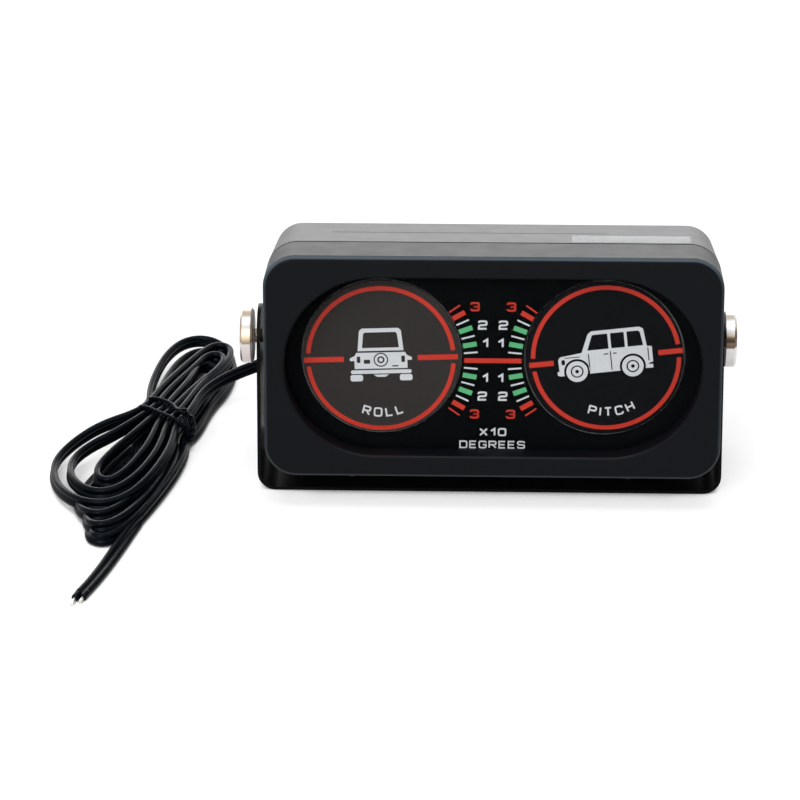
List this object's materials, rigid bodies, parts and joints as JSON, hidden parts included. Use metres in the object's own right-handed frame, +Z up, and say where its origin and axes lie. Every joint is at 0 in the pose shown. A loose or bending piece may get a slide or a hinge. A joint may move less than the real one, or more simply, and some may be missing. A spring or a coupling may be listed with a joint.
{
  "type": "inclinometer",
  "caption": "Vehicle clinometer with a roll disc and a pitch disc behind one window, in a tilting housing clamped by thumb knobs in a U bracket, with a hanked twin lead.",
  "frame": {"origin": "middle of the bracket's underside, on the surface it is screwed to", "axes": "+X to the viewer's right along the housing's width, +Y away from the viewer, +Z up"},
  "size_m": [0.1972, 0.1483, 0.0738],
  "materials": {
    "bracket_paint": "satin black paint",
    "bright_metal": "turned and nickel plated",
    "housing_plastic": "fine satin texture",
    "clear_plastic": "clear polished acrylic",
    "dial_black": "matt black with printed scales",
    "disc_grey": "matt dark grey print",
    "disc_black": "glossy black print",
    "screw_steel": "zinc plated",
    "brass": "turned",
    "frame_plastic": "natural white moulding",
    "spindle_steel": "ground",
    "bulb_glass": "clear glass",
    "grommet_rubber": "matt black",
    "lead_pvc": "glossy black PVC",
    "tinned_copper": "tinned"
  },
  "bodies": {
    "bracket": {"mounting_bracket": "bracket_paint", "lead_cord": "lead_pvc", "cord_hank": "lead_pvc", "hank_tie": "lead_pvc", "cord_tail": "lead_pvc", "bare_ends": "tinned_copper"},
    "housing": {"front_cover": "housing_plastic", "rear_shell": "housing_plastic", "window_lens": "clear_plastic", "dial_plate": "dial_black", "case_screws": "screw_steel", "left_insert": "brass", "right_insert": "brass", "movement_frame": "frame_plastic", "roll_bush": "brass", "pitch_bush": "brass", "left_axle_bush": "brass", "right_axle_bush": "brass", "lamp_socket": "frame_plastic", "lamp_bulb": "bulb_glass", "cord_grommet": "grommet_rubber"},
    "left_knob": {"left_thumb_knob": "bright_metal"},
    "right_knob": {"right_thumb_knob": "bright_metal"},
    "roll_rotor": {"roll_disc": "disc_grey", "roll_spindle": "spindle_steel", "roll_weight": "brass"},
    "pitch_rotor": {"pitch_disc": "disc_black", "pitch_spindle": "spindle_steel", "disc_gear": "brass"},
    "pitch_pendulum": {"pendulum_axle": "spindle_steel", "pendulum_arm": "spindle_steel", "pendulum_weight": "brass", "axle_gear": "brass"}
  },
  "joints": [
    {"name": "housing_tilt", "type": "hinge", "parent": "bracket", "child": "housing", "pos_m": [0, 0, 0.0412], "axis": [1, 0, 0], "range_deg": [-10, 28], "deforming": ["lead_cord"]},
    {"name": "left_knob_turn", "type": "hinge", "parent": "housing", "child": "left_knob", "pos_m": [-0.07, 0, 0.0412], "axis": [-1, 0, 0], "range_deg": [-720, 720]},
    {"name": "right_knob_turn", "type": "hinge", "parent": "housing", "child": "right_knob", "pos_m": [0.069, 0, 0.0412], "axis": [1, 0, 0], "range_deg": [0, 720]},
    {"name": "roll_disc_turn", "type": "hinge", "parent": "housing", "child": "roll_rotor", "pos_m": [-0.03105, -0.00062, 0.03801], "axis": [0, 0.9816, -0.1908], "continuous": true},
    {"name": "pitch_pendulum_swing", "type": "hinge", "parent": "housing", "child": "pitch_pendulum", "pos_m": [0.03275, 0.009, 0.03614], "axis": [1, 0, 0], "range_deg": [-49, 27]},
    {"name": "pitch_disc_turn", "type": "hinge", "parent": "housing", "child": "pitch_rotor", "pos_m": [0.03275, -0.00062, 0.03801], "axis": [0, 0.9816, -0.1908], "range_deg": [-27, 49]}
  ],
  "couplings": [
    {"joint": "pitch_disc_turn", "follows": "pitch_pendulum_swing", "ratio": -1}
  ]
}
